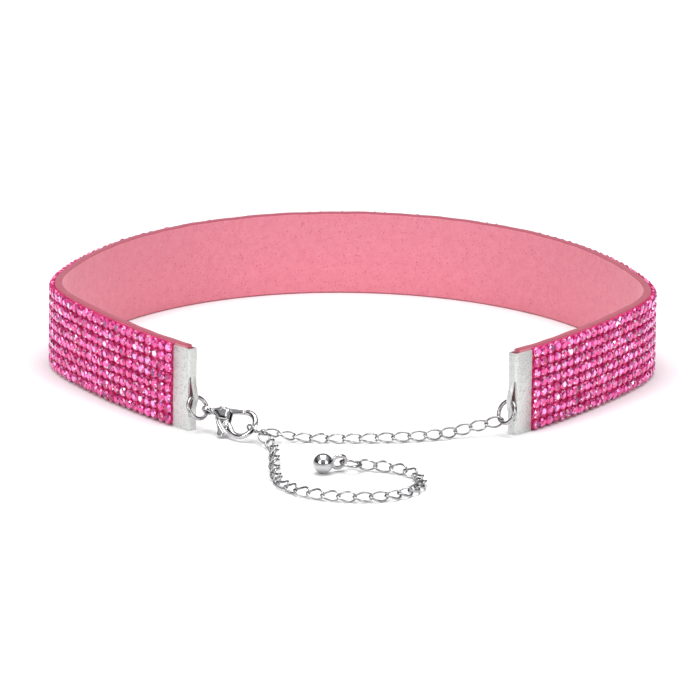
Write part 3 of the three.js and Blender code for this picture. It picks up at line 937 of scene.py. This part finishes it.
def wire_loop(centre_line: np.ndarray, radius: float, sides: int) -> tuple[np.ndarray, Faces]:
    """Wraps round wire about a closed line.

    Args:
        centre_line: Rows of x, y and z.
        radius: Half the wire's thickness, in the same unit.
        sides: Sides of the wire.

    Returns:
        Points and faces.
    """
    count = len(centre_line)
    ahead = np.roll(centre_line, -1, axis=0) - np.roll(centre_line, 1, axis=0)
    ahead /= np.linalg.norm(ahead, axis=1, keepdims=True)
    outward = centre_line - centre_line.mean(axis=0)
    lift = np.cross(ahead, outward)
    lift /= np.linalg.norm(lift, axis=1, keepdims=True)
    outward = np.cross(lift, ahead)
    rows = []
    for side in range(sides):
        angle = 2 * math.pi * side / sides
        rows.append(centre_line + radius * (math.cos(angle) * outward + math.sin(angle) * lift))
    points = np.stack(rows, axis=1).reshape(-1, 3)
    faces: Faces = []
    for i in range(count):
        following = (i + 1) % count
        for k in range(sides):
            j = (k + 1) % sides
            faces.append((i * sides + k, following * sides + k, following * sides + j, i * sides + j))
    return points, faces


@dataclass
class CurbLink:
    """One twisted oval link of the chain."""

    wire: float = 0.4
    length: float = 3.84
    width: float = 2.24
    twist: float = math.radians(80)
    sides: int = 10
    steps: int = 34

    def mesh(self) -> tuple[np.ndarray, Faces]:
        """Bends the wire to a twisted oval, its length along x.

        Returns:
            Points in metres and faces.
        """
        reach = (self.length - self.wire) / 2
        half = (self.width - self.wire) / 2
        angle = 2 * math.pi * np.arange(self.steps) / self.steps
        along = np.cos(angle)
        side = half * np.sin(angle)
        turn = along * self.twist / 2
        line = np.stack([reach * along, side * np.cos(turn), side * np.sin(turn)], axis=1)
        points, faces = wire_loop(line, self.wire / 2, self.sides)
        return points * MM, faces


@dataclass
class Chain:
    """Links that stand for a row of solids, joined in one mesh."""

    solids: dict[str, bpy.types.Object]
    link: CurbLink = field(default_factory=CurbLink)

    def build(self, name: str, names: Sequence[str], finish: bpy.types.Material) -> bpy.types.Object:
        """Builds, dresses and mounts one stretch of chain.

        Args:
            name: The piece's name.
            names: The solids that it stands for.
            finish: The metal's material.

        Returns:
            The piece.
        """
        base, base_faces = self.link.mesh()
        points, faces = [], []
        for count, key in enumerate(names):
            middle, turn = axes_of(self.solids[key])
            points.append(base @ turn.T + middle)
            faces.extend(tuple(count * len(base) + corner for corner in face) for face in base_faces)
        piece = make_object(name, np.vstack(points), faces, Shading.SMOOTH)
        dress(piece, finish)
        mount_piece(piece, names)
        report("chain", piece)
        return piece


@dataclass
class WireRing:
    """A round ring of round wire."""

    outer: float
    wire: float
    steps: int = 72
    sides: int = 20

    def build(self, name: str, solid: bpy.types.Object, finish: bpy.types.Material) -> bpy.types.Object:
        """Builds, dresses and mounts the ring in a solid's place.

        Args:
            name: The piece's name.
            solid: The solid that it stands for.
            finish: The metal's material.

        Returns:
            The piece.
        """
        middle, turn = axes_of(solid)
        reach = (self.outer - self.wire) / 2
        angle = 2 * math.pi * np.arange(self.steps) / self.steps
        line = np.stack([reach * np.cos(angle), reach * np.sin(angle), 0 * angle], axis=1)
        points, faces = wire_loop(line, self.wire / 2, self.sides)
        piece = make_object(name, points * MM @ turn.T + middle, faces, Shading.SMOOTH)
        dress(piece, finish)
        mount_piece(piece, [solid.name])
        report("ring", piece)
        return piece


@dataclass
class Clamps:
    """The folded clamps on the strip's ends, their corners slightly rounded."""

    solids: dict[str, bpy.types.Object]
    curve: BandCurve
    corner: float = 0.05

    def build(self) -> None:
        """Dresses both clamps with sheet pitted along their own direction."""
        for side in Side:
            solid = self.solids[f"clamp_{side.name.lower()}"]
            ahead = self.curve.frame(side.value * self.curve.length / 2).ahead
            finish = ClampFinish(side, -math.atan2(ahead[1], ahead[0])).build()
            soften(solid, self.corner)
            dress(solid, finish)
            report("clamp", solid)


@dataclass
class FoldGlue:
    """The crimson glue that has run from the strip's end into the top of each clamp's fold."""

    solids: dict[str, bpy.types.Object]
    curve: BandCurve
    depth: float = 0.8
    inner: float = 0.03
    outer: float = 1.37
    below_top: float = 0.03
    height: float = 2.4

    def build(self, finish: bpy.types.Material) -> None:
        """Builds a block of glue in each fold.

        Args:
            finish: The glue's material.
        """
        for side in Side:
            name = side.name.lower()
            end = self.curve.frame(side.value * self.curve.length / 2)
            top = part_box(f"clamp_{name}")[1][2] / MM - self.below_top
            ring = []
            for out, reach in ((self.inner, 0), (self.outer, 0), (self.outer, 1), (self.inner, 1)):
                ring.append(end.point + end.outward * out + end.ahead * side.value * self.depth * reach)
            low = [(x, y, top - self.height) for x, y in ring]
            points = np.array(low + [(x, y, top) for x, y in ring]) * MM
            faces: Faces = [(3, 2, 1, 0), (4, 5, 6, 7)]
            faces += [(i, (i + 1) % 4, 4 + (i + 1) % 4, 4 + i) for i in range(4)]
            if side.value > 0:
                faces = [tuple(reversed(face)) for face in faces]
            piece = make_object(f"fold_glue_{name}", points, faces, Shading.FLAT)
            dress(piece, finish)
            mount_piece(piece, [])
            report("fold glue", piece)


@dataclass
class ClaspPlane:
    """The plane that the clasp is cut in: along from eye to hook, up to the gate, face to the front."""

    pivot: Vector
    face: Vector
    yaw: float = math.radians(35)
    pivot_place: tuple[float, float] = (3.4, 0.5)

    def axes(self) -> np.ndarray:
        """Works out the plane's directions.

        Returns:
            Along, up and face as columns.
        """
        along = Vector((math.cos(self.yaw), -math.sin(self.yaw), 0))
        up = self.face.cross(along)
        return np.array([along, up, self.face]).T

    def inward(self, points: np.ndarray) -> np.ndarray:
        """Turns places in metres into the plane's millimetres."""
        return (points - np.array(self.pivot)) @ self.axes() / MM + np.array([*self.pivot_place, 0.0])

    def outward(self, places: np.ndarray) -> np.ndarray:
        """Turns the plane's millimetres back into places in metres."""
        place = places - np.array([*self.pivot_place, 0.0])
        return place @ self.axes().T * MM + np.array(self.pivot)


@dataclass
class Casting:
    """A cast part of the clasp: its solid's outline, with faces that are domed towards the rim."""

    solid: bpy.types.Object
    body: Body
    plane: ClaspPlane
    cheek: float
    reach: float
    dome: float = 0.82
    eye_end: float = 1.7
    cheek_end: float = 5.9
    pin_room: float = 0.95
    cell: float = 0.065
    rounds: int = 9

    def even_mesh(self) -> tuple[np.ndarray, np.ndarray, Faces]:
        """Cuts a copy of the solid into even cells.

        Returns:
            Points in metres, their normals, and faces.
        """
        copy = bpy.data.objects.new("casting_blank", self.solid.data.copy())
        bpy.context.scene.collection.objects.link(copy)
        even_cells(copy, self.cell)
        mesh = copy.evaluated_get(bpy.context.evaluated_depsgraph_get()).to_mesh()
        points = np.array([corner.co for corner in mesh.vertices])
        normals = np.array([corner.normal for corner in mesh.vertices])
        faces = [tuple(polygon.vertices) for polygon in mesh.polygons]
        bpy.data.objects.remove(copy)
        return points, normals, faces

    def domed(self, places: np.ndarray, tilt: np.ndarray) -> np.ndarray:
        """Lowers the faces towards the rim.

        Args:
            places: Points in the clasp's plane, in millimetres.
            tilt: How far each point's normal leaves the plane, 0 to 1.

        Returns:
            The moved points.
        """
        from_pin = np.linalg.norm(places[:, :2] - np.array(self.plane.pivot_place), axis=1)
        rim = np.flatnonzero((tilt < 0.5) & (from_pin > self.pin_room))
        tree = KDTree(len(rim))
        for number in rim:
            tree.insert((places[number, 0], places[number, 1], 0.0), int(number))
        tree.balance()
        moved = places.copy()
        for number, (x, y, z) in enumerate(places):
            base = self.cheek if x < self.cheek_end and abs(z) > self.cheek else 0.0
            if x < self.eye_end or (x < self.cheek_end and abs(z) <= self.cheek):
                continue
            near = tree.find((x, y, 0.0))[2]
            share = 1 - min(near / self.reach, 1.0)
            height = (abs(z) - base) * math.sqrt(1 - self.dome * share * share)
            moved[number, 2] = math.copysign(base + height, z)
        return moved

    def build(self, name: str, finish: bpy.types.Material) -> bpy.types.Object:
        """Builds, dresses and mounts the part.

        Args:
            name: The piece's name.
            finish: The metal's material.

        Returns:
            The piece.
        """
        points, normals, faces = self.even_mesh()
        tilt = np.abs(normals @ np.array(self.plane.face))
        places = self.domed(self.plane.inward(points), tilt)
        piece = make_object(name, self.plane.outward(places), faces, Shading.SMOOTH)
        polish(piece, self.rounds)
        dress(piece, finish)
        mount_piece(piece, [self.solid.name], self.body)
        report("casting", piece)
        return piece


@dataclass
class Clasp:
    """The lobster claw with its spring lever and rivet."""

    solids: dict[str, bpy.types.Object]
    hinge: dict
    rivet_round: float = 0.05

    def build(self, finish: bpy.types.Material) -> None:
        """Builds claw and lever and dresses the rivet.

        Args:
            finish: The metal's material.
        """
        plane = ClaspPlane(Vector(self.hinge["pos_m"]), -Vector(self.hinge["axis"]).normalized())
        solid = self.solids["clasp_claw"]
        claw = Casting(solid, Body.NECKLACE, plane, cheek=0.43, reach=0.9)
        claw.build("domed_claw", finish)
        solid = self.solids["clasp_lever"]
        lever = Casting(solid, Body.LEVER, plane, cheek=0.0, reach=0.35, dome=0.6, eye_end=-9.0)
        lever.build("domed_lever", finish)
        rivet = self.solids["clasp_rivet"]
        soften(rivet, self.rivet_round)
        dress(rivet, finish)
        report("rivet", rivet)


@dataclass
class BallDrop:
    """The small polished ball with its soldered loop."""

    solid: bpy.types.Object
    cell: float = 0.07
    rounds: int = 8

    def build(self, finish: bpy.types.Material) -> None:
        """Smooths and dresses the drop.

        Args:
            finish: The metal's material.
        """
        even_cells(self.solid, self.cell)
        polish(self.solid, self.rounds)
        dress(self.solid, finish)
        report("drop", self.solid)


# ---- studio ----


@dataclass(frozen=True)
class Lamp:
    """A soft lamp: its place and its width and height in metres, and its strength in watts."""

    name: str
    spot: tuple[float, float, float]
    power: float
    size: tuple[float, float]


@dataclass
class Studio:
    """The camera as in the photo, the white table and the soft light."""

    aim: tuple[float, float, float] = (0.0, 0.025205, 0.0)
    distance: float = 1.8
    elevation: float = math.radians(15)
    yaw: float = 0.003968
    roll: float = -0.015119
    lens: float = 491.67
    shift: tuple[float, float] = (-0.002587, 0.010363)
    lamps: tuple[Lamp, ...] = (
        Lamp("overhead", (0.0, 0.1, 1.2), 14.0, (1.0, 1.0)),
        Lamp("left_window", (-0.9, -0.9, 0.75), 7.5, (0.4, 0.9)),
        Lamp("right_window", (0.9, -1.0, 0.65), 6.5, (0.4, 0.8)),
    )
    table_half: float = 6.0
    table_drop: float = 0.00002
    dark: Colour = (0.015, 0.015, 0.017)
    dark_to: float = 0.42
    pale: Colour = (0.75, 0.75, 0.76)
    pale_from: float = 0.72
    room_strength: float = 0.7

    def set_camera(self) -> None:
        """Places the camera."""
        cy, sy = math.cos(self.yaw), math.sin(self.yaw)
        ce, se = math.cos(self.elevation), math.sin(self.elevation)
        cr, sr = math.cos(self.roll), math.sin(self.roll)
        across = Vector((cy, -sy, 0))
        ahead = Vector((sy * ce, cy * ce, -se))
        upward = Vector((sy * se, cy * se, ce))
        right = cr * across - sr * upward
        up = sr * across + cr * upward
        data = bpy.data.cameras.new("camera")
        data.lens, data.sensor_width = self.lens, 36
        data.shift_x, data.shift_y = self.shift
        data.clip_start, data.clip_end = 0.05, 20
        data.dof.use_dof = False
        camera = bpy.data.objects.new("camera", data)
        turn = Matrix((right, up, -ahead)).transposed().to_4x4()
        camera.matrix_world = Matrix.Translation(Vector(self.aim) - ahead * self.distance) @ turn
        bpy.context.scene.collection.objects.link(camera)
        bpy.context.scene.camera = camera

    def add_light(self, lamp: Lamp) -> bpy.types.Object:
        """Adds a lamp that looks at the necklace.

        Args:
            lamp: The lamp.

        Returns:
            The light.
        """
        data = bpy.data.lights.new(lamp.name, "AREA")
        data.shape = "RECTANGLE"
        data.size, data.size_y = lamp.size
        data.energy = lamp.power
        light = bpy.data.objects.new(lamp.name, data)
        light.location = lamp.spot
        towards = Vector(self.aim) - Vector(lamp.spot)
        light.rotation_euler = towards.to_track_quat("-Z", "Y").to_euler()
        bpy.context.scene.collection.objects.link(light)
        return light

    def add_floor(self) -> bpy.types.Object:
        """Adds the white table, just under the necklace.

        Returns:
            The table.
        """
        side = self.table_half
        points = np.array([(-side, -side, 0), (side, -side, 0), (side, side, 0), (-side, side, 0)])
        floor = make_object("white_table", points, [(0, 1, 2, 3)], Shading.FLAT)
        floor.location.z = -self.table_drop
        dress(floor, FloorFinish().build())
        return floor

    def room(self) -> bpy.types.World:
        """Makes a soft room, dark near the horizon so that the silver shows its form.

        Returns:
            The world.
        """
        world = bpy.data.worlds.new("soft_room")
        world.use_nodes = True
        nodes, links = world.node_tree.nodes, world.node_tree.links
        back = nodes["Background"]
        split = nodes.new("ShaderNodeSeparateXYZ")
        links.new(nodes.new("ShaderNodeTexCoord").outputs["Generated"], split.inputs["Vector"])
        ramp = nodes.new("ShaderNodeValToRGB")
        links.new(split.outputs["Z"], ramp.inputs["Fac"])
        stops = ((self.dark, self.dark_to), (self.pale, self.pale_from))
        for element, (colour, position) in zip(ramp.color_ramp.elements, stops):
            element.color = (*colour, 1.0)
            element.position = position
        links.new(ramp.outputs["Color"], back.inputs["Color"])
        back.inputs["Strength"].default_value = self.room_strength
        return world

    def build(self) -> None:
        """Sets up camera, light and table."""
        self.set_camera()
        floor = self.add_floor()
        lights = [self.add_light(lamp) for lamp in self.lamps]
        bpy.context.scene.world = self.room()
        bpy.context.scene.view_settings.view_transform = "Standard"


def main() -> None:
    """Builds every piece in order and reports it."""
    logging.basicConfig(level=logging.INFO, format="%(name)s: %(message)s")
    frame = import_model()
    solids = frame["nodes"]
    Studio().build()

    curve = BandCurve(back=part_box("suede_band")[1][1] / MM - SuedeStrip.thickness)
    SuedeStrip(curve).build(SuedeFinish().build())
    StoneField(curve).build(StoneFinish().build(), GlueFinish().build())
    Clamps(solids, curve).build()
    # The fold glue is dressed dark with painted shade.
    FoldGlue(solids, curve).build(FOLD_GLUE_IN_SHADE.build())

    Clasp(solids, frame["joints"][0]).build(SilverFinish().build())
    chain_silver = CHAIN_SILVER.build()
    ring_silver = RING_SILVER.build()
    jump_ring = WireRing(outer=4.9, wire=0.72)
    jump_ring.build("open_ring_left", solids["jump_ring_left"], ring_silver)
    jump_ring.build("open_ring_right", solids["jump_ring_right"], ring_silver)
    WireRing(outer=4.3, wire=0.56).build("tail_end_ring", solids["end_ring"], chain_silver)
    chain = Chain(solids)
    for stretch in ("run_link", "tail_link", "held_link"):
        names = sorted(name for name in solids if name.startswith(stretch))
        chain.build(f"{stretch}s", names, chain_silver)
    BallDrop(solids["ball_drop"]).build(BALL_SILVER.build())


if __name__ == "__main__":
    main()
